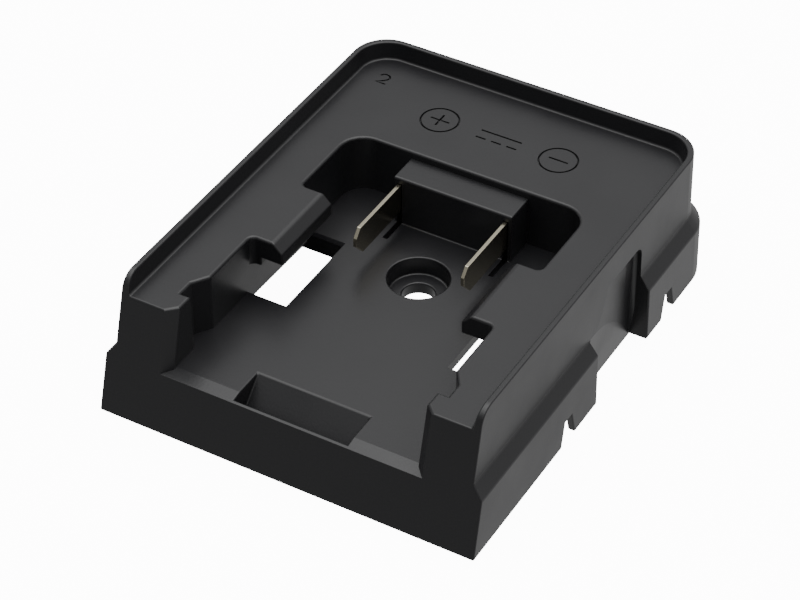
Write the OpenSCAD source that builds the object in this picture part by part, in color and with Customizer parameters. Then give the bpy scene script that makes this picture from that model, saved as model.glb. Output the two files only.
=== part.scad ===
// Battery adapter plate: a moulded cradle that a slide-in tool battery pack is pushed into.
// The pack lies upside down in the bay, its rails run under the two lips, and two blade
// terminals reach into the slots of the pack. The plate is a thin shell, open underneath.
// Millimetres. Lengths along Y are measured from the toe of the front face.

/* [Shell] */
// Width over the side flanges, at the surface the plate stands on
body_w = 80; // [76:0.5:100]
// Length from the toe of the front face to the back of the flange
body_l = 100; // [98:0.5:120]
// Height of the deck
deck_h = 25; // [24:0.25:32]
// Radius of the two rear corners of the wall
corner_r = 8; // [5:0.5:12]
// Lean of the front face, in degrees from upright
front_lean = 14; // [4:0.5:18]
// Thickness of the deck
deck_t = 2.2; // [1.6:0.1:3]
// Thickness of the skirt inside the flange
skirt_t = 1.5; // [1.2:0.1:2.4]
// Thickness of the shell behind the upper wall
wall_t = 1.9; // [1.5:0.1:2.4]

/* [Flange] */
// How far the flange stands out from the wall
flange_out = 2; // [1:0.1:3]
// Height of the upright band of the flange
flange_h = 12; // [8:0.25:14]
// Height of the sloped band above it
flange_slope_h = 2.6; // [1.5:0.1:4]
// Where the gap in each side flange starts
gap_y = 48.2; // [44:0.2:52]
// Length of that gap
gap_l = 21.3; // [14:0.1:24]
// How far the wall leans in at the foot of the gap
gap_undercut = 1.8; // [0.5:0.1:2.5]

/* [Rim] */
// Height of the rim above the deck
rim_h = 3.8; // [2:0.1:6]
// Thickness of the rim at its top
rim_t = 1.2; // [0.8:0.1:2]
// Thickness of the rim at the deck
rim_root_t = 1.65; // [1.4:0.05:2.6]

/* [Bay] */
// Width between the side walls of the bay
bay_w = 51.8; // [46:0.1:53]
// Height of the bay's floor
floor_h = 12.5; // [11:0.1:14]
// Thickness of the bay's floor
floor_t = 2.3; // [2.2:0.1:3]
// Thickness of the bay's side walls
bay_wall_t = 1.8; // [1.4:0.1:2.4]
// Distance from the toe to the bay's back wall
bay_end_y = 70.1; // [68:0.1:76]
// Radius of the bay's two back corners
bay_corner_r = 5; // [2:0.5:8]
// Size of the bevels at the mouth
mouth_bevel = 1.9; // [0.5:0.1:3]
// Length of the ramp at the mouth of the floor
mouth_ramp_l = 2.8; // [1:0.1:4]
// Drop of that ramp
mouth_ramp_drop = 0.5; // [0.2:0.05:1]

/* [Latch notches] */
// How far each notch is cut into the side wall
notch_out = 2.15; // [1:0.05:2.6]
// Where the notches start
notch_y = 11.8; // [10:0.1:14]
// Straight length of a notch
notch_l = 3.4; // [2:0.1:6]
// Length of the slope that leads back to the wall
notch_slope_l = 3.2; // [1:0.1:5]

/* [Rails] */
// Gap between the two lips
lip_gap = 38.3; // [34:0.1:42]
// Where the lips start
rail_y = 32.4; // [30:0.1:36]
// Length of the lips
rail_l = 18.1; // [12:0.1:22]
// Size of the bevel along the top edge of a lip
lip_bevel = 2.05; // [0.5:0.05:2.4]
// Height of the lip's underside above the floor
lip_clear = 7.8; // [6:0.1:8.4]
// Width of the raised part of the groove under a lip
groove_w = 4.75; // [3:0.05:5.5]
// Height of the groove's lower, wider part
groove_side_h = 5.9; // [4:0.1:6.4]

/* [Windows] */
// Distance from the middle plane to a window's inner edge
window_x = 17.5; // [15:0.1:18]
// How far a window starts ahead of the lip
window_lead = 1.8; // [1:0.1:3]
// How far a window ends behind the lip
window_tail = 1.4; // [1:0.1:3]
// Depth of the rib behind each window, from the top of the floor
window_rib_d = 4.5; // [3.6:0.1:6]
// Bevel on the floor's edge at the rear of a window
window_bevel = 0.6; // [0.3:0.1:1]

/* [Catch pocket] */
// Width of the catch pocket
pocket_w = 24; // [16:0.5:28]
// Where the pocket ends, at the floor
pocket_end_y = 12; // [11:0.1:15]
// Depth of the pocket
pocket_d = 5.6; // [3:0.1:6]
// Width of the strip left ahead of the pocket
pocket_strip = 0.85; // [0.6:0.05:1.4]

/* [Terminal block] */
// Width of the block
block_w = 26; // [25.5:0.1:32]
// Depth of the block, from the bay's back wall
block_d = 6.7; // [5.5:0.1:9]
// How far the block's top lies below the deck
block_drop = 1.6; // [0.5:0.1:2.5]

/* [Blades] */
// Distance between the two blades
blade_gap = 23.4; // [20:0.1:23.6]
// Thickness of a blade
blade_t = 0.8; // [0.6:0.05:1]
// Width of a blade's tongue
blade_w = 6.4; // [5:0.1:7]
// Height of the tongue's top edge above the floor
blade_top = 9.4; // [8.4:0.1:9.6]
// How far the tongue reaches out of the block
blade_reach = 17; // [12:0.1:20]
// Width of the leg that goes down through the floor
leg_w = 3.2; // [2.5:0.1:3.6]
// Height at which the leg ends
leg_end_h = 4; // [2:0.1:6]
// Play between a blade and its slot, on each side
blade_play = 0.1; // [0.05:0.01:0.15]
// How far the slot in the floor runs out ahead of the block
slot_lead = 5.6; // [3:0.1:7]
// Depth of that slot
slot_d = 1.4; // [0.8:0.1:1.5]

/* [Screw hole] */
// Distance from the toe to the screw hole
screw_y = 50.5; // [46:0.1:51]
// Diameter of the hole
screw_d = 6.5; // [4:0.1:7]
// Diameter of the counterbore
head_d = 12.2; // [11:0.1:13.4]
// Depth of the counterbore
head_depth = 4; // [3:0.1:4.5]
// Radius of the fillet round its seat
seat_fillet_r = 0.4; // [0.3:0.1:1]
// Thickness of the web that the screw clamps
screw_web = 2.7; // [1.5:0.1:3.2]

/* [Hand scoops] */
// Height of the top of the scoops
scoop_h = 22.4; // [18:0.1:22.6]
// Where a scoop starts behind the front end of the gap
scoop_lead = 1.3; // [0.5:0.1:4]
// Radius of the sweep that leads down into a scoop
scoop_sweep_r = 122; // [121:1:200]
// Radius of the fillet at the scoop's deep end
scoop_fillet_r = 0.8; // [0.5:0.1:1.2]
// Radius of the upper corners of a scoop
scoop_round_r = 2.2; // [1:0.1:4]

/* [Foot notches] */
// Width of a notch at the foot of the flange
foot_notch_w = 5.2; // [3:0.1:7]
// Width of a notch at its top
foot_notch_top_w = 2.5; // [1:0.1:3]
// Height of a notch
foot_notch_h = 5.3; // [3:0.1:7]
// Middle of the front notches
foot_notch_front_y = 36.5; // [20:0.5:42]
// Middle of the rear notches
foot_notch_rear_y = 78.6; // [75:0.2:84]

/* [Hidden] */
$fn = 72;
eps = 0.01;        // overlap that keeps joined shapes in one piece
over = 1;          // how far a cut runs past the face it opens
draft = 1;         // mould draft of the outer walls, in degrees

wall_w = body_w - 2 * flange_out;         // width of the wall at its foot
wall_l = body_l - flange_out;             // back of the wall at its foot
flange_top = flange_h + flange_slope_h;
top_h = deck_h + rim_h;
lean = tan(front_lean);                   // how far the front goes back for each mm up
bay_half = bay_w / 2;
bay_top = top_h + over;
notch_end_y = notch_y + notch_l;
rail_end_y = rail_y + rail_l;
lip_x = lip_gap / 2;
lip_under = floor_h + lip_clear;
groove_x = lip_x + groove_w;
groove_side_top = floor_h + groove_side_h;
under_floor = floor_h - floor_t;
block_y = bay_end_y - block_d;
block_top = deck_h - block_drop;
blade_top_h = floor_h + blade_top;
blade_low_h = blade_top_h - blade_w;
blade_nose_y = block_y - blade_reach;
blade_stop = 1.6;                         // the tongue stops in the block, short of its back
blade_back_y = bay_end_y - blade_stop;
blade_leg_y = blade_back_y - leg_w;
slot_half = blade_t / 2 + blade_play;
web_top = floor_h - head_depth;
web_low = web_top - screw_web;
cup_t = 1.8;                              // wall of the cup round the screw's head
pocket_low = floor_h - pocket_d;
pocket_y = mouth_y(floor_h - mouth_ramp_drop) + pocket_strip;
pocket_wall_t = 1.6;
guide_t = 1.6;                            // wall of the sleeves round the blades' legs
leg_out = 2;                              // how far a leg stands out of its sleeve
rail_fillet_r = 1.2;                      // fillet between a rail's ends and the bay's wall
window_end_y = rail_end_y + window_tail;
window_rib_t = 1.6;
scoop_end_y = gap_y + gap_l;
inner_half = wall_w / 2 - wall_t;
scoop_end_x = wall_w / 2 - wall_inset(flange_top);
scoop_back_t = 2;                         // extra wall behind the scoops

// Rounds a size to a hundredth, so that neighbouring shapes meet on the same value
function hundredth(v) = round(v * 100) / 100;

// Distance of the front face from the toe at a height
function mouth_y(h) = h * lean;

// Inset of the outer wall at a height, for the mould draft
function wall_inset(h) = hundredth(h * tan(draft));

// Height profile of the outside, as [inset, height]: flange, its sloped band, and the wall
outer_profile = [
    [0, 0], [wall_inset(flange_h), flange_h],
    [flange_out + wall_inset(flange_top), flange_top], [flange_out + wall_inset(top_h), top_h]
];

// Inside of the rim, wider at its top
rim_profile = [
    [rim_root_t - rim_t, 0], [rim_root_t - rim_t, deck_h], [0, top_h],
    [-rim_t / 2, top_h + over]
];

// Carries a height profile round both sides, the back and the two rear corners
module swept_wall(profile, half, back, r) {
    n = len(profile);
    low = profile[0][1];
    high = profile[n - 1][1];
    side = [for (p = profile) [half - p[0], p[1]]];
    other_side = [for (i = [n - 1:-1:0]) [profile[i][0] - half, profile[i][1]]];
    // Both sides, from ahead of the toe to the corners
    translate([0, back - r, 0]) rotate([90, 0, 0])
        linear_extrude(back - r + over) polygon(concat(side, other_side));
    // Back
    translate([-(half - r), 0, 0]) rotate([90, 0, 90]) linear_extrude(2 * (half - r))
        polygon(concat([[0, low]], [for (p = profile) [back - p[0], p[1]]], [[0, high]]));
    // Corners
    for (s = [-1, 1]) translate([s * (half - r), back - r, 0])
        rotate_extrude()
            polygon(concat([[0, low]], [for (p = profile) [r - p[0], p[1]]], [[0, high]]));
}

// Everything ahead of the leaning front face, set back by a distance
module ahead_of_front(back_by = 0, wide = body_w + 2 * over) {
    translate([-wide / 2, 0, 0]) rotate([90, 0, 90]) linear_extrude(wide)
        polygon([
            [-2 * over, -over], [mouth_y(-over) + back_by, -over],
            [mouth_y(top_h + over) + back_by, top_h + over], [-2 * over, top_h + over]
        ]);
}

// The rim rounds down at its two front ends, in line with the leaning front face
module rim_nose_cut() {
    centre_y = mouth_y(deck_h) + rim_h / cos(front_lean) - eps;
    reach = rim_h + 2 * over;
    translate([-body_w / 2, 0, 0]) rotate([90, 0, 90]) linear_extrude(body_w) difference() {
        polygon([
            [centre_y, deck_h],
            [centre_y - reach * cos(front_lean), deck_h + reach * sin(front_lean)],
            [centre_y - reach * cos(front_lean), top_h + over], [centre_y, top_h + over]
        ]);
        translate([centre_y, deck_h]) circle(rim_h);
    }
}

// The lower body is cut back to the wall between the front and rear flange
module flange_gap_cut(s) {
    foot = wall_w / 2 - gap_undercut;
    slope = (gap_undercut - wall_inset(flange_top)) / flange_top;
    translate([0, scoop_end_y, 0]) rotate([90, 0, 0]) linear_extrude(gap_l)
        polygon([
            [s * (foot - slope * over), -over],
            [s * (foot + slope * flange_top), flange_top],
            [s * (body_w / 2 + over), flange_top], [s * (body_w / 2 + over), -over]
        ]);
}

// Plan of a hand scoop: a long sweep that ends in the plane of the rear flange's face
module scoop_plan() {
    start = [scoop_end_x - scoop_sweep_r, gap_y + scoop_lead];
    long = scoop_end_y - start[1];
    // Fillet between the sweep and the end face
    rise = long - scoop_fillet_r;
    run = sqrt(pow(scoop_sweep_r + scoop_fillet_r, 2) - pow(rise, 2));
    centre = start + [run, rise];
    toward = [run, rise] / (scoop_sweep_r + scoop_fillet_r);
    difference() {
        translate([scoop_end_x - 3 * over, start[1]]) square([6 * over, long]);
        translate(start) circle(scoop_sweep_r, $fn = 360);
        difference() {
            polygon([
                centre, centre - 2 * scoop_fillet_r * toward,
                [centre[0] - 2 * scoop_fillet_r, scoop_end_y + over],
                [centre[0], scoop_end_y + over]
            ]);
            translate(centre) circle(scoop_fillet_r + eps);
        }
    }
}

module scoop_cut(s) {
    front = gap_y + scoop_lead;
    r = scoop_round_r;
    mirror([s < 0 ? 1 : 0, 0, 0]) intersection() {
        translate([0, 0, -over]) linear_extrude(scoop_h + over) scoop_plan();
        translate([scoop_end_x - 3 * over, 0, 0]) rotate([90, 0, 90]) linear_extrude(6 * over)
            union() {
                translate([front, -over]) square([scoop_end_y - front - r, scoop_h + over]);
                translate([front, -over]) square([scoop_end_y - front, scoop_h + over - r]);
                translate([scoop_end_y - r, scoop_h - r]) circle(r);
            }
    }
}

// Notch in the foot of the flange
module foot_notch_cut(s, y) {
    skirt_x = body_w / 2 - skirt_t - flange_out;
    translate([s > 0 ? skirt_x : -skirt_x - body_w / 2, y, 0]) rotate([90, 0, 90])
        linear_extrude(body_w / 2) polygon([
            [-foot_notch_w / 2, -over], [foot_notch_w / 2, -over],
            [foot_notch_w / 2, 0], [foot_notch_top_w / 2, foot_notch_h],
            [-foot_notch_top_w / 2, foot_notch_h], [-foot_notch_w / 2, 0]
        ]);
}

// Outside of the moulding, with the deck still closed
module outer_body() {
    difference() {
        swept_wall(outer_profile, body_w / 2, body_l, corner_r + flange_out);
        ahead_of_front();
        // Inside of the rim, above the deck
        intersection() {
            inset = rim_t + wall_inset(top_h);
            swept_wall(rim_profile, wall_w / 2 - inset, wall_l - inset, corner_r - rim_t);
            translate([-body_w, -over, deck_h]) cube([2 * body_w, body_l + over, rim_h + 2 * over]);
        }
        rim_nose_cut();
        for (s = [-1, 1]) {
            flange_gap_cut(s);
            scoop_cut(s);
            for (y = [foot_notch_front_y, foot_notch_rear_y]) foot_notch_cut(s, y);
        }
    }
}

// Half of the bay's plan, grown outwards by a wall thickness
module bay_half_plan(grow = 0) {
    x = bay_half + grow;
    out = notch_out;
    r = bay_corner_r + grow;
    end = bay_end_y + grow;
    difference() {
        union() {
            translate([-eps, -over]) square([x + eps, end + over]);
            polygon([
                [0, notch_y - grow], [x + out, notch_y - grow], [x + out, notch_end_y],
                [x, notch_end_y + notch_slope_l], [0, notch_end_y + notch_slope_l]
            ]);
        }
        translate([x - r, end - r]) difference() {
            square(r + over);
            circle(r);
        }
    }
}

module bay_plan(grow = 0) {
    for (s = [0, 1]) mirror([s, 0]) bay_half_plan(grow);
}

// Everything above the floor and above the ramp at its mouth
module above_floor() {
    ramp_h = floor_h - mouth_ramp_drop;
    ramp_y = mouth_y(ramp_h);
    ramp_low = ramp_h - over * mouth_ramp_drop / mouth_ramp_l;
    translate([-body_w / 2, 0, 0]) rotate([90, 0, 90]) linear_extrude(body_w) polygon([
        [-2 * over, ramp_low], [ramp_y - over, ramp_low], [ramp_y + mouth_ramp_l, floor_h],
        [body_l, floor_h], [body_l, bay_top], [-2 * over, bay_top]
    ]);
}

// Bevels down the two sides of the mouth, which lean with the front face
module mouth_bevels() {
    wide = bay_half + mouth_bevel + over;
    rotate([-front_lean, 0, 0]) translate([0, 0, -over]) linear_extrude(2 * top_h) polygon([
        [-wide, -over], [wide, -over], [bay_half - over, mouth_bevel + over],
        [over - bay_half, mouth_bevel + over]
    ]);
}

// Air of the bay, ahead of the lips and behind them
module bay_cut() {
    difference() {
        intersection() {
            above_floor();
            union() {
                linear_extrude(bay_top + over) bay_plan();
                mouth_bevels();
            }
        }
        for (s = [-1, 1]) rail(s);
        terminal_block();
    }
}

// One overhanging rail: bevelled lip inside, stepped groove under it
module rail(s) {
    wall_x = bay_half + eps;
    translate([0, rail_end_y, 0]) rotate([90, 0, 0]) linear_extrude(rail_l)
        polygon([for (p = [
            [wall_x, groove_side_top], [groove_x, groove_side_top], [groove_x, lip_under],
            [lip_x, lip_under], [lip_x, deck_h - lip_bevel], [lip_x + lip_bevel, deck_h],
            [wall_x, deck_h]
        ]) [s * p[0], p[1]]]);
    // Fillets between the rail's ends and the wall of the bay
    for (e = [[rail_y, -1], [rail_end_y, 1]])
        translate([s * bay_half, e[0], groove_side_top]) linear_extrude(deck_h - groove_side_top)
            mirror([s > 0 ? 1 : 0, 0]) mirror([0, e[1] < 0 ? 1 : 0]) translate([-eps, -eps])
                difference() {
                    square(rail_fillet_r + eps);
                    translate([rail_fillet_r + eps, rail_fillet_r + eps]) circle(rail_fillet_r);
                }
}

module terminal_block() {
    translate([-block_w / 2, block_y, floor_h - eps])
        cube([block_w, bay_end_y - block_y + eps, block_top - floor_h + eps]);
}

// Hollow underside: everything inside the skirt but the tub that forms the bay
module hollow() {
    roof = deck_h - deck_t;
    skirt_half = body_w / 2 - skirt_t;
    difference() {
        union() {
            swept_wall([[0, -over], [0, roof]], inner_half, wall_l - wall_t, corner_r - wall_t);
            swept_wall([[0, -over], [wall_inset(flange_h - skirt_t), flange_h - skirt_t]],
                skirt_half, body_l - skirt_t, corner_r);
        }
        ahead_of_front(deck_t);
        translate([0, 0, under_floor]) linear_extrude(top_h) bay_plan(bay_wall_t);
        for (s = [-1, 1]) {
            // The shell steps in behind the gap in the flange and the scoop above it
            x = inner_half - scoop_back_t;
            translate([s > 0 ? x : -x - body_w, gap_y - skirt_t, -2 * over])
                cube([body_w, gap_l + 2 * skirt_t, roof + 3 * over]);
        }
        screw_cup();
        pocket_tub();
        window_ribs();
        blade_guides();
    }
}

// Cup below the floor that takes the screw's head
module screw_cup() {
    translate([0, screw_y, web_low]) cylinder(h = floor_h - web_low, d = head_d + 2 * cup_t);
}

// Walls of the catch pocket below the floor
module pocket_tub() {
    w = pocket_w + 2 * pocket_wall_t;
    translate([-w / 2, -over, pocket_low - pocket_wall_t])
        cube([w, pocket_end_y + pocket_wall_t + over, floor_h - pocket_low + pocket_wall_t]);
}

// Ribs across the underside, just behind the windows
module window_ribs() {
    wide = bay_half + bay_wall_t - window_x;
    for (s = [-1, 1])
        translate([s > 0 ? window_x : -window_x - wide, window_end_y, floor_h - window_rib_d])
            cube([wide, window_rib_t, window_rib_d]);
}

// Sleeves that carry the blades' legs below the floor
module blade_guides() {
    guide_low = leg_end_h + leg_out;
    for (s = [-1, 1])
        translate([s * blade_gap / 2 - slot_half - guide_t, blade_leg_y - guide_t, guide_low])
            cube([2 * (slot_half + guide_t), leg_w + 2 * guide_t, floor_h - guide_low]);
}

module catch_pocket_cut() {
    rear = pocket_end_y;
    translate([-pocket_w / 2, 0, 0]) rotate([90, 0, 90]) linear_extrude(pocket_w) polygon([
        [pocket_y, bay_top], [pocket_y, pocket_low], [rear - pocket_d, pocket_low],
        [rear, floor_h], [rear, bay_top]
    ]);
}

module window_cuts() {
    y = rail_y - window_lead;
    low = under_floor - over;
    for (s = [-1, 1])
        translate([s > 0 ? window_x : -bay_half, 0, 0]) rotate([90, 0, 90])
            linear_extrude(bay_half - window_x) polygon([
                [y, low], [window_end_y, low], [window_end_y, floor_h - window_bevel],
                [window_end_y + window_bevel + over, floor_h + over], [y, floor_h + over]
            ]);
}

module screw_hole_cut() {
    translate([0, screw_y, 0]) {
        translate([0, 0, web_low - over]) cylinder(h = bay_top, d = screw_d);
        // Counterbore with a fillet round its seat
        rotate_extrude() difference() {
            translate([0, web_top]) square([head_d / 2, head_depth + over]);
            translate([head_d / 2 - seat_fillet_r, web_top + seat_fillet_r]) difference() {
                translate([0, -seat_fillet_r - over]) square([seat_fillet_r + over, seat_fillet_r + over]);
                circle(seat_fillet_r);
            }
        }
    }
}

// Channel that a blade is pushed up through, and the blind slot in the floor ahead of it
module blade_slot_cut(s) {
    back_y = blade_back_y + blade_play;
    leg_y = blade_leg_y - blade_play;
    slot_y = block_y - slot_lead;
    translate([s * blade_gap / 2 - slot_half, 0, 0]) {
        translate([0, leg_y, leg_end_h])
            cube([2 * slot_half, back_y - leg_y, floor_h - leg_end_h + eps]);
        translate([0, slot_y, floor_h - slot_d])
            cube([2 * slot_half, back_y - slot_y, slot_d + eps]);
        translate([0, block_y - over, floor_h])
            cube([2 * slot_half, back_y - block_y + over, blade_top + blade_play]);
    }
}

module moulded_plate() {
    color("#2b2b2d") difference() {
        outer_body();
        hollow();
        bay_cut();
        catch_pocket_cut();
        window_cuts();
        screw_hole_cut();
        for (s = [-1, 1]) blade_slot_cut(s);
    }
}

// Blade terminal: a stamped tongue with a leg at its back that goes down through the floor
module blade(s) {
    nose_slope = 1.6;
    nose_drop = 1.8;
    chin_l = 2.4;
    chin_h = 2.7;
    color("#c9c6bb") translate([s * blade_gap / 2 - blade_t / 2, 0, 0]) rotate([90, 0, 90])
        linear_extrude(blade_t) polygon([
            [blade_nose_y + nose_slope, blade_top_h], [blade_back_y, blade_top_h],
            [blade_back_y, leg_end_h], [blade_leg_y, leg_end_h],
            [blade_leg_y, blade_low_h], [blade_nose_y + chin_l, blade_low_h],
            [blade_nose_y, blade_low_h + chin_h], [blade_nose_y, blade_top_h - nose_drop]
        ]);
}

module positive_blade() blade(-1);

module negative_blade() blade(1);

// Puts the middle of the footprint at the origin
module centred() {
    translate([0, -body_l / 2, 0]) children();
}

centred() moulded_plate();
centred() positive_blade();
centred() negative_blade();
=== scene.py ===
# Battery adapter plate: surface detail, materials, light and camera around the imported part
import math

import bmesh
import bpy
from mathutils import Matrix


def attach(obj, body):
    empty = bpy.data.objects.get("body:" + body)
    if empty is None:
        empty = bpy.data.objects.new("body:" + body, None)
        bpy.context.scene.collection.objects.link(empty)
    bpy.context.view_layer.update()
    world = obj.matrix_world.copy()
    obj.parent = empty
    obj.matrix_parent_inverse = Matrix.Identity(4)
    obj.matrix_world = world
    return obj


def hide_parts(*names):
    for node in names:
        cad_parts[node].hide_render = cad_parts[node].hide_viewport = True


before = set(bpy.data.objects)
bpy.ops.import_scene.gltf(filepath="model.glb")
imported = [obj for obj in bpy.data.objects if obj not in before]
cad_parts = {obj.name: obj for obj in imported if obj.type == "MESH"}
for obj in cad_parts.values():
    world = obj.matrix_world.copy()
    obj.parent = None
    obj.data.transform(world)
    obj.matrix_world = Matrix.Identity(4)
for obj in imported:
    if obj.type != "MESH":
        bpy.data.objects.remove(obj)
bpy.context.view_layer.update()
mm = 0.001
print("frame loaded")


# Small helpers

def linearColour(hexText):
    # sRGB hex to the linear values that Blender works in
    parts = [int(hexText[i:i + 2], 16) / 255 for i in (1, 3, 5)]
    return [c / 12.92 if c < 0.04045 else ((c + 0.055) / 1.055) ** 2.4 for c in parts] + [1.0]


def selectOnly(piece):
    bpy.ops.object.select_all(action="DESELECT")
    piece.select_set(True)
    bpy.context.view_layer.objects.active = piece


def placeInMesh(piece):
    # moves the object's place, turn and size into its mesh
    selectOnly(piece)
    bpy.ops.object.transform_apply(location=True, rotation=True, scale=True)


def addNode(tree, kind, settings=None, links=None):
    # settings go by socket or property name, links by socket name
    node = tree.nodes.new(kind)
    for name, value in (settings or {}).items():
        if name in node.inputs:
            node.inputs[name].default_value = value
        else:
            setattr(node, name, value)
    for name, source in (links or {}).items():
        tree.links.new(source, node.inputs[name])
    return node


def startMaterial(name):
    material = bpy.data.materials.new(name)
    material.use_nodes = True
    tree = material.node_tree
    tree.nodes.clear()
    place = addNode(tree, "ShaderNodeTexCoord").outputs["Object"]
    return material, tree, place


def finishMaterial(tree, shader):
    addNode(tree, "ShaderNodeOutputMaterial", links={"Surface": shader.outputs["BSDF"]})


# Materials

noiseLow, noiseHigh = 0.3, 0.7    # nearly all of a noise pattern lies between these

mouldedAbs = {
    "colour": "#1c1c1e",
    "ior": 1.52,
    "roughness": (0.30, 0.38),
    "cloudSize": 14 * mm,     # faint flow clouds where the melt cooled unevenly
    "cloudDetail": 3.0,
    "grainSize": 0.5 * mm,    # spark-eroded tool grain, drawn coarser than the real 0.1 mm so it shows
    "grainDetail": 2.0,
    "grainHeight": 0.012 * mm,
}

tinnedBrass = {
    "colour": "#b9b3a0",
    "roughness": (0.20, 0.26),
    "lineSize": 0.35 * mm,    # rolling lines along the strip
    "lineStretch": 0.06,      # stretches the pattern into lines along the strip
    "lineDetail": 3.0,
    "lineHeight": 0.0001 * mm,
}


def makeBlackAbs():
    # Injection-moulded black ABS: near black, satin, with a clear Fresnel sheen towards the edges
    material, tree, place = startMaterial("blackMouldedAbs")
    clouds = addNode(tree, "ShaderNodeTexNoise",
                     {"Scale": 1 / mouldedAbs["cloudSize"], "Detail": mouldedAbs["cloudDetail"]},
                     {"Vector": place})
    smoothest, roughest = mouldedAbs["roughness"]
    rough = addNode(tree, "ShaderNodeMapRange",
                    {"From Min": noiseLow, "From Max": noiseHigh, "To Min": smoothest, "To Max": roughest},
                    {"Value": clouds.outputs["Fac"]})
    grain = addNode(tree, "ShaderNodeTexNoise",
                    {"Scale": 1 / mouldedAbs["grainSize"], "Detail": mouldedAbs["grainDetail"]},
                    {"Vector": place})
    bump = addNode(tree, "ShaderNodeBump", {"Strength": 1.0, "Distance": mouldedAbs["grainHeight"]},
                   {"Height": grain.outputs["Fac"]})
    shader = addNode(tree, "ShaderNodeBsdfPrincipled",
                     {"Base Color": linearColour(mouldedAbs["colour"]), "IOR": mouldedAbs["ior"]},
                     {"Roughness": rough.outputs["Result"], "Normal": bump.outputs["Normal"]})
    finishMaterial(tree, shader)
    return material


def makeTinnedBrass():
    # Rolled brass strip with a thin tin plating: pale warm grey metal with fine lines along its length
    material, tree, place = startMaterial("tinnedBrassStrip")
    stretched = addNode(tree, "ShaderNodeMapping", {"Scale": (1.0, tinnedBrass["lineStretch"], 1.0)},
                        {"Vector": place})
    lines = addNode(tree, "ShaderNodeTexNoise",
                    {"Scale": 1 / tinnedBrass["lineSize"], "Detail": tinnedBrass["lineDetail"]},
                    {"Vector": stretched.outputs["Vector"]})
    smoothest, roughest = tinnedBrass["roughness"]
    rough = addNode(tree, "ShaderNodeMapRange",
                    {"From Min": noiseLow, "From Max": noiseHigh, "To Min": smoothest, "To Max": roughest},
                    {"Value": lines.outputs["Fac"]})
    bump = addNode(tree, "ShaderNodeBump", {"Strength": 1.0, "Distance": tinnedBrass["lineHeight"]},
                   {"Height": lines.outputs["Fac"]})
    shader = addNode(tree, "ShaderNodeBsdfPrincipled",
                     {"Base Color": linearColour(tinnedBrass["colour"]), "Metallic": 1.0},
                     {"Roughness": rough.outputs["Result"], "Normal": bump.outputs["Normal"]})
    finishMaterial(tree, shader)
    return material


blackAbs = makeBlackAbs()
brassStrip = makeTinnedBrass()
print("materials made")


# Dressed copies of the CAD nodes, with the small edge rounds that moulding and stamping leave

cleaning = {
    "merge": 0.001 * mm,      # points closer than this become one
    "flat": 0.3,              # neighbouring faces within this many degrees become one
    "edge": 28,               # edges that turn by more degrees than this get a round
}

plate = {
    "piece": "plate_body",
    "round": 0.6 * mm,
    "steps": 3,
    # how much of that round each kind of edge gets
    "shares": {"sharp": 0.0, "outer": 0.55, "deck": 1.0, "rimFoot": 0.8, "blockFoot": 0.5,
               "blockTop": 0.9, "slot": 0.2},
    # where those edges lie, measured from the middle of the plate and up from its foot
    "near": 0.05 * mm,
    "deckHeight": 25 * mm,
    "floorHeight": 12.5 * mm,
    "bay": {"half": 28.3 * mm, "back": 20.2 * mm, "low": 10.9 * mm},
    "window": {"inner": 17.3 * mm, "back": 3 * mm},
    "mouth": {"back": -43 * mm},
    "block": {"half": 13.05 * mm, "front": 13.4 * mm, "top": 23.4 * mm},
    "slot": {"x": 11.7 * mm, "half": 0.6 * mm, "front": 7.5 * mm},
    "gap": {"inner": 34 * mm, "front": -1.9 * mm, "back": 19.6 * mm},
    "scoop": {"low": 15 * mm, "high": 23 * mm},
    "scoopFoot": {"outer": 37 * mm, "front": 18.6 * mm, "high": 7 * mm},
    "screwSeat": {"y": 0.5 * mm, "inner": 3.5 * mm, "outer": 6.35 * mm, "high": 12.4 * mm},
    # shallow edges beside the wide walls of the side gaps, which lean in
    "crease": {"angle": 3, "area": 100 * mm ** 2, "lean": (-0.3, -0.05)},
}

blades = {
    "pieces": {"positive_blade": "plus_blade_strip", "negative_blade": "minus_blade_strip"},
    "round": 0.12 * mm,
    "steps": 2,
}


def copyNode(nodeName, pieceName):
    # a merged copy of a CAD node, with its flat areas as single faces
    piece = bpy.data.objects.new(pieceName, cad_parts[nodeName].data.copy())
    bpy.context.scene.collection.objects.link(piece)
    selectOnly(piece)
    bpy.ops.mesh.customdata_custom_splitnormals_clear()
    bpy.ops.object.mode_set(mode="EDIT")
    bpy.ops.mesh.select_all(action="SELECT")
    bpy.ops.mesh.remove_doubles(threshold=cleaning["merge"])
    bpy.ops.mesh.dissolve_limited(angle_limit=math.radians(cleaning["flat"]))
    bpy.ops.object.mode_set(mode="OBJECT")
    return piece


def isNear(value, level):
    return abs(value - level) < plate["near"]


def isCrowded(x, y, z):
    # rounds would run into each other in the screw's seat, at a side gap's foot and in its scoop
    seat, gap, scoop, foot = (plate[zone] for zone in ("screwSeat", "gap", "scoop", "scoopFoot"))
    inSeat = seat["inner"] < math.hypot(x, y - seat["y"]) < seat["outer"] and z < seat["high"]
    inGap = abs(x) > gap["inner"] and gap["front"] < y < gap["back"]
    inFoot = abs(x) < foot["outer"] and y > foot["front"] and z < foot["high"]
    inScoop = scoop["low"] < z < scoop["high"]
    return inSeat or inGap and (z < plate["near"] or inFoot or inScoop)


def inWindowOrMouth(x, y, z):
    floorTop = plate["floorHeight"] + plate["near"]
    inWindow = abs(x) > plate["window"]["inner"] and y < plate["window"]["back"] and z < floorTop
    inMouth = y < plate["mouth"]["back"] and floorTop < z < plate["deckHeight"] - plate["near"]
    return inWindow or inMouth


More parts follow.
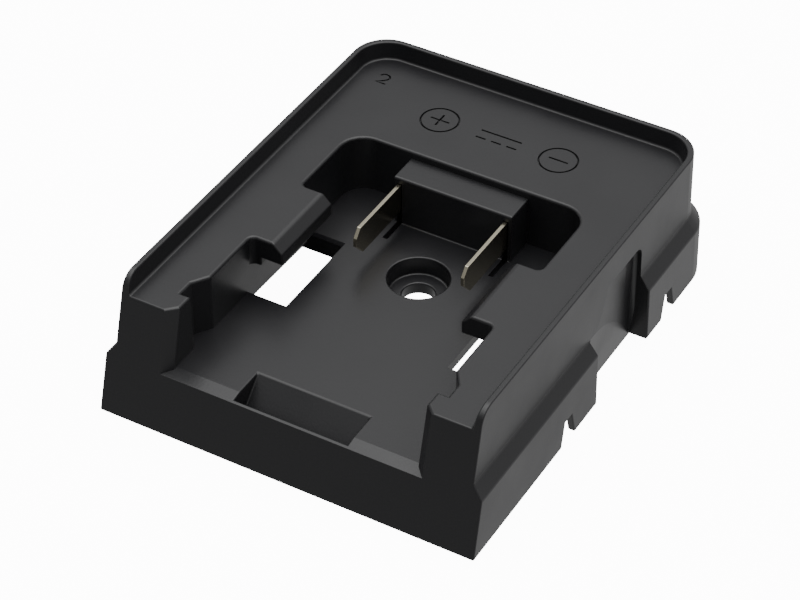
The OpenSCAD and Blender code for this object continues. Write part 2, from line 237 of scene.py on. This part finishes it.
def edgeKind(edge):
    # inside corners of the bay stay sharp, its outer edges are the softest
    x, y, z = (edge.verts[0].co + edge.verts[1].co) / 2
    bay, block, slot = plate["bay"], plate["block"], plate["slot"]
    inBay = abs(x) < bay["half"] and y < bay["back"] and z > bay["low"]
    onDeck = isNear(z, plate["deckHeight"])
    onFloor = isNear(z, plate["floorHeight"])
    onBlock = inBay and abs(x) < block["half"] and isNear(y, block["front"])
    if isCrowded(x, y, z):
        return "sharp"
    if edge.calc_face_angle_signed(0) < 0:
        if onDeck and not inBay:
            return "rimFoot"
        if onFloor and onBlock:
            return "blockFoot"
        return "sharp" if inBay else "outer"
    if (onFloor or onBlock) and abs(abs(x) - slot["x"]) < slot["half"] and y > slot["front"]:
        return "slot"
    if onBlock and isNear(z, block["top"]):
        return "blockTop"
    if inBay and inWindowOrMouth(x, y, z):
        return "sharp"
    return "deck" if onDeck and inBay else "outer"


def isBesideGapWall(edge):
    lowest, highest = plate["crease"]["lean"]
    return any(face.calc_area() > plate["crease"]["area"] and lowest < face.normal.z < highest
               for face in edge.link_faces)


def shareRounds(piece):
    # writes each edge's share of the round where the bevel looks for it
    mesh = bmesh.new()
    mesh.from_mesh(piece.data)
    layer = mesh.edges.layers.float.new("bevel_weight_edge")
    for edge in mesh.edges:
        turn = edge.calc_face_angle(0)
        if turn > math.radians(cleaning["edge"]):
            edge[layer] = plate["shares"][edgeKind(edge)]
        elif turn > math.radians(plate["crease"]["angle"]) and isBesideGapWall(edge):
            edge.smooth = False
    mesh.to_mesh(piece.data)
    mesh.free()


def roundEdges(piece, details, limit):
    selectOnly(piece)
    bpy.ops.object.modifier_add(type="BEVEL")
    bevel = piece.modifiers[-1]
    bevel.width = details["round"]
    bevel.segments = details["steps"]
    bevel.limit_method = limit
    bevel.angle_limit = math.radians(cleaning["edge"])
    bevel.use_clamp_overlap = False
    bevel.miter_outer = "MITER_SHARP"
    bevel.harden_normals = True
    bpy.ops.object.modifier_apply(modifier=bevel.name)


def dress(piece, nodeName, material):
    piece.data.materials.clear()
    piece.data.materials.append(material)
    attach(piece, "root")
    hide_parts(nodeName)


plateBody = copyNode("moulded_plate", plate["piece"])
shareRounds(plateBody)
roundEdges(plateBody, plate, "WEIGHT")
print("plate rounded,", len(plateBody.data.polygons), "faces")


# Signs engraved in the deck behind the bay

signs = {
    "centreX": 13.2 * mm,     # the two circles stand this far each side of the middle
    "centreY": 32.0 * mm,
    "ring": 3.85 * mm,
    "ringSteps": 72,
    "stroke": 4.2 * mm,
    "upright": 3.7 * mm,      # the plus sign's other stroke
    "groove": 0.2 * mm,       # half the width of a line
    "grooveSteps": 2,         # how finely its bottom is rounded
    "wall": 0.35 * mm,        # half the height of the cutter's straight walls
    "sink": 0.1 * mm,         # how far the cutter's middle lies below the deck
    "directCurrent": {"length": 9.0 * mm, "y": 33.3 * mm, "apart": 2.4 * mm, "dash": 2.2 * mm},
    # the number's points in millimetres, and where it stands
    "number": [(-1.25, 0.75), (-0.9, 1.3), (-0.2, 1.55), (0.6, 1.3), (0.95, 0.65), (0.75, 0.0),
               (0.0, -0.75), (-1.2, -1.5), (1.1, -1.5)],
    "numberX": -29.8 * mm,
    "numberY": 38.6 * mm,
}


def grooveCutter(points, closed=False):
    # a round-nosed blade along a line of points in the deck's plane
    curve = bpy.data.curves.new("groove", "CURVE")
    curve.dimensions = "3D"
    curve.twist_mode = "Z_UP"
    curve.bevel_depth = signs["groove"]
    curve.bevel_resolution = signs["grooveSteps"]
    curve.extrude = signs["wall"]
    curve.use_fill_caps = True
    line = curve.splines.new("POLY")
    line.points.add(len(points) - 1)
    for point, (x, y) in zip(line.points, points):
        point.co = (x, y, plate["deckHeight"] - signs["sink"], 1)
    line.use_cyclic_u = closed
    cutter = bpy.data.objects.new("groove", curve)
    bpy.context.scene.collection.objects.link(cutter)
    selectOnly(cutter)
    bpy.ops.object.convert(target="MESH")
    return bpy.context.active_object


def ringCutter(x, y):
    turns = [math.tau * step / signs["ringSteps"] for step in range(signs["ringSteps"])]
    return grooveCutter([(x + signs["ring"] * math.cos(a), y + signs["ring"] * math.sin(a))
                         for a in turns], closed=True)


def signCutters():
    cutters = []
    # circled plus and minus: both have the level stroke, the plus has an upright one too
    y = signs["centreY"]
    half = signs["stroke"] / 2
    for side in (-1, 1):
        x = side * signs["centreX"]
        cutters.append(ringCutter(x, y))
        cutters.append(grooveCutter([(x - half, y), (x + half, y)]))
    x = -signs["centreX"]
    half = signs["upright"] / 2
    cutters.append(grooveCutter([(x, y - half), (x, y + half)]))
    # direct current: one whole line above three dashes
    current = signs["directCurrent"]
    half = current["length"] / 2
    cutters.append(grooveCutter([(-half, current["y"]), (half, current["y"])]))
    dashY = current["y"] - current["apart"]
    for x in (-half, -current["dash"] / 2, half - current["dash"]):
        cutters.append(grooveCutter([(x, dashY), (x + current["dash"], dashY)]))
    # cavity number of the mould
    cutters.append(grooveCutter([(signs["numberX"] + x * mm, signs["numberY"] + y * mm)
                                 for x, y in signs["number"]]))
    return cutters


def engrave(piece, cutters):
    for cutter in cutters:
        selectOnly(piece)
        bpy.ops.object.modifier_add(type="BOOLEAN")
        cut = piece.modifiers[-1]
        cut.operation = "DIFFERENCE"
        cut.solver = "EXACT"
        cut.object = cutter
        bpy.ops.object.modifier_apply(modifier=cut.name)
        bpy.data.objects.remove(cutter)


engrave(plateBody, signCutters())
dress(plateBody, "moulded_plate", blackAbs)
print("signs engraved,", len(plateBody.data.polygons), "faces")

for nodeName, pieceName in blades["pieces"].items():
    strip = copyNode(nodeName, pieceName)
    roundEdges(strip, blades, "ANGLE")
    dress(strip, nodeName, brassStrip)
print("blades dressed")


# Floor, light and camera

lightTable = {
    "size": 6.0,
    "colour": "#f4f4f4",
    "roughness": (0.5, 0.6),
    "hazeScale": 3.0,         # soft clouds about a third of a metre wide
    "hazeDetail": 1.0,
    "glow": 12.0,             # lit from below, so the ground shows white through the openings
}

# painted shade: a near-black card under the left side of the plate, in place of the shade that falls
# inside its hollow
paintedShadeCard = {
    "size": (15 * mm, 26 * mm),
    "place": (-29.5 * mm, -12 * mm, 0.1 * mm),
    "colour": "#050505",
    "roughness": (0.9, 1.0),
    "cardCloudSize": 5 * mm,        # roughness clouds on the painted shade card, drawn coarse; drawn coarser than the real nap
}

softRoom = {
    # brightness of the surroundings at six heights, from straight down to straight up
    "heights": [(0.0, 0.78), (0.5, 0.60), (0.70, 0.45), (0.82, 0.68), (0.93, 2.8), (1.0, 4.0)],
    "frontShare": 0.5,        # the side behind the camera is darker
    "fade": (-0.9, 0.35),     # from the dark side to the full brightness, along y
}

photoView = {
    "place": (0.20049, -0.35389, 0.34859),
    "tilt": 50,               # 40 degrees up from level
    "round": 30,              # 30 degrees round from the front
    "lens": 124.16,
    "sensor": 36,
    "nearest": 0.01,
}


def makeFloor():
    bpy.ops.mesh.primitive_plane_add(size=lightTable["size"])
    floor = bpy.context.active_object
    floor.name = "studio_floor"
    material, tree, place = startMaterial("lightTable")
    # opal acrylic sheet over a lamp box
    haze = addNode(tree, "ShaderNodeTexNoise",
                   {"Scale": lightTable["hazeScale"], "Detail": lightTable["hazeDetail"]},
                   {"Vector": place})
    smoothest, roughest = lightTable["roughness"]
    rough = addNode(tree, "ShaderNodeMapRange", {"To Min": smoothest, "To Max": roughest},
                    {"Value": haze.outputs["Fac"]})
    shader = addNode(tree, "ShaderNodeBsdfPrincipled",
                     {"Base Color": linearColour(lightTable["colour"]), "Specular IOR Level": 0.0,
                      "Emission Color": (1, 1, 1, 1), "Emission Strength": lightTable["glow"]},
                     {"Roughness": rough.outputs["Result"]})
    finishMaterial(tree, shader)
    floor.data.materials.append(material)
    # the glow is for the ground alone: the object is lit by the surroundings
    floor.visible_glossy = False
    floor.visible_diffuse = False


def makePaintedShadeCard():
    # painted shade: a dark card, hidden from the camera, stands in for the shade under the plate's hollow,
    # so the wall behind the left window reflects dark instead of the bright room below
    bpy.ops.mesh.primitive_plane_add(size=1, location=paintedShadeCard["place"])
    card = bpy.context.active_object
    card.name = "painted_shade_card"
    card.scale = (*paintedShadeCard["size"], 1)
    placeInMesh(card)
    material, tree, place = startMaterial("paintedShadeCardMaterial")
    cardClouds = addNode(tree, "ShaderNodeTexNoise", {"Scale": 1 / paintedShadeCard["cardCloudSize"]}, {"Vector": place})
    smoothest, roughest = paintedShadeCard["roughness"]
    rough = addNode(tree, "ShaderNodeMapRange", {"To Min": smoothest, "To Max": roughest},
                    {"Value": cardClouds.outputs["Fac"]})
    shader = addNode(tree, "ShaderNodeBsdfPrincipled",
                     {"Base Color": linearColour(paintedShadeCard["colour"]), "Specular IOR Level": 0.0},
                     {"Roughness": rough.outputs["Result"]})
    finishMaterial(tree, shader)
    card.data.materials.append(material)
    card.visible_camera = False


def makeSurroundings():
    world = bpy.data.worlds.new("softRoom")
    bpy.context.scene.world = world
    world.use_nodes = True
    tree = world.node_tree
    tree.nodes.clear()
    direction = addNode(tree, "ShaderNodeTexCoord").outputs["Generated"]
    parts = addNode(tree, "ShaderNodeSeparateXYZ", links={"Vector": direction}).outputs
    height = addNode(tree, "ShaderNodeMapRange", {"From Min": -1.0, "From Max": 1.0},
                     {"Value": parts["Z"]})
    ramp = addNode(tree, "ShaderNodeValToRGB", links={"Fac": height.outputs["Result"]})
    brightest = max(level for _, level in softRoom["heights"])
    marks = ramp.color_ramp.elements
    while len(marks) < len(softRoom["heights"]):
        marks.new(0.5)
    for mark, (position, level) in zip(marks, softRoom["heights"]):
        mark.position = position
        mark.color = (level / brightest, level / brightest, level / brightest, 1)
    darkEnd, brightEnd = softRoom["fade"]
    side = addNode(tree, "ShaderNodeMapRange",
                   {"From Min": darkEnd, "From Max": brightEnd, "To Min": softRoom["frontShare"],
                    "To Max": 1.0, "interpolation_type": "SMOOTHSTEP"},
                   {"Value": parts["Y"]})
    strength = addNode(tree, "ShaderNodeMath", {"operation": "MULTIPLY"})
    tree.links.new(side.outputs["Result"], strength.inputs[0])
    strength.inputs[1].default_value = brightest
    sky = addNode(tree, "ShaderNodeBackground",
                  links={"Color": ramp.outputs["Color"], "Strength": strength.outputs["Value"]})
    addNode(tree, "ShaderNodeOutputWorld", links={"Surface": sky.outputs["Background"]})


def makeCamera():
    turn = (math.radians(photoView["tilt"]), 0, math.radians(photoView["round"]))
    bpy.ops.object.camera_add(location=photoView["place"], rotation=turn)
    camera = bpy.context.active_object
    camera.name = "photoView"
    camera.data.lens = photoView["lens"]
    camera.data.sensor_width = photoView["sensor"]
    camera.data.clip_start = photoView["nearest"]
    bpy.context.scene.camera = camera


makeFloor()
makePaintedShadeCard()
makeSurroundings()
makeCamera()
print("floor, light and camera set")
